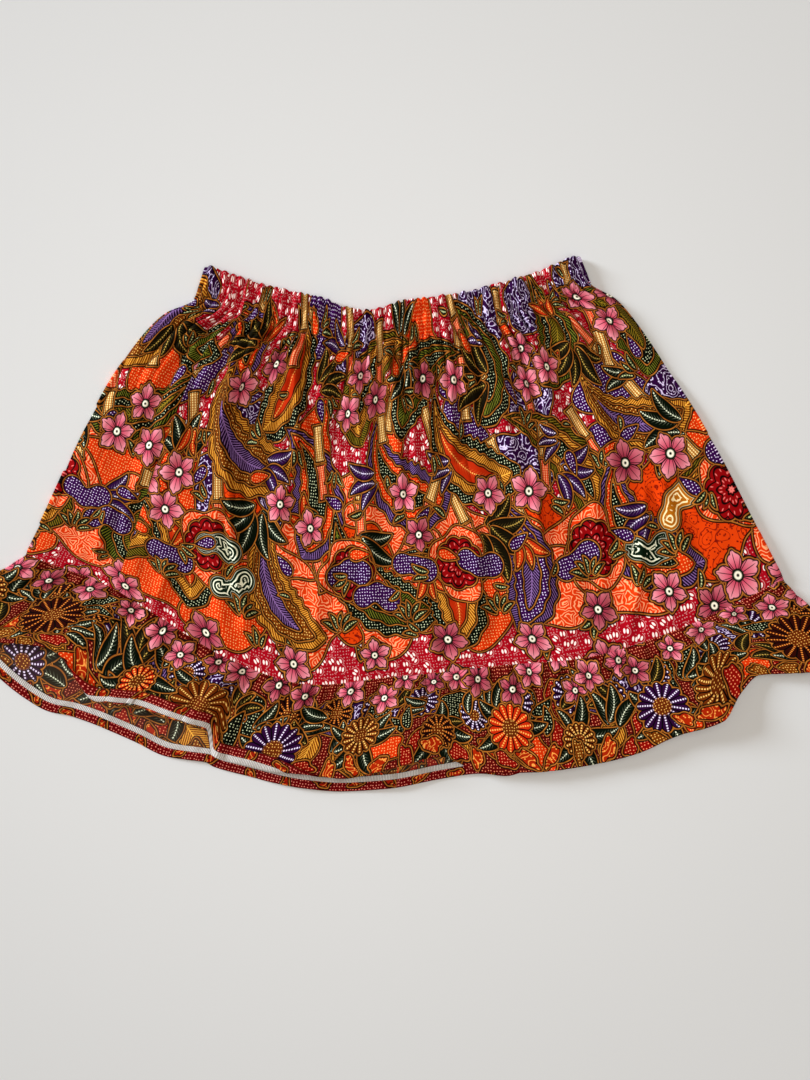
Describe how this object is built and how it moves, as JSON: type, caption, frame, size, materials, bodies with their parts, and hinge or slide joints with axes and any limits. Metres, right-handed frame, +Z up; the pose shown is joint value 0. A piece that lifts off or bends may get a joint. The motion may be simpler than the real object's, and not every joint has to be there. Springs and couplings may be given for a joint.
{
  "type": "printed skirt",
  "caption": "Short gathered cotton skirt in a batik-style print, with an elasticated waist casing and a ruffled, turned-up hem, laid flat face up.",
  "frame": {"origin": "on the flat underside, where it rests on the surface, near the middle of the back panel", "axes": "+X to the right side fold as seen from above, +Y towards the waist, +Z up from the surface that it lies on"},
  "size_m": [0.8046, 0.4693, 0.0182],
  "materials": {
    "print": "matte printed cotton",
    "hem": "matte printed cotton, turned up"
  },
  "bodies": {
    "root": {"casing_front": "print", "casing_back": "print", "panel_front": "print", "panel_back": "print", "ruffle_front": "print", "ruffle_back": "print", "hem_front": "hem", "hem_back": "hem"}
  },
  "joints": []
}
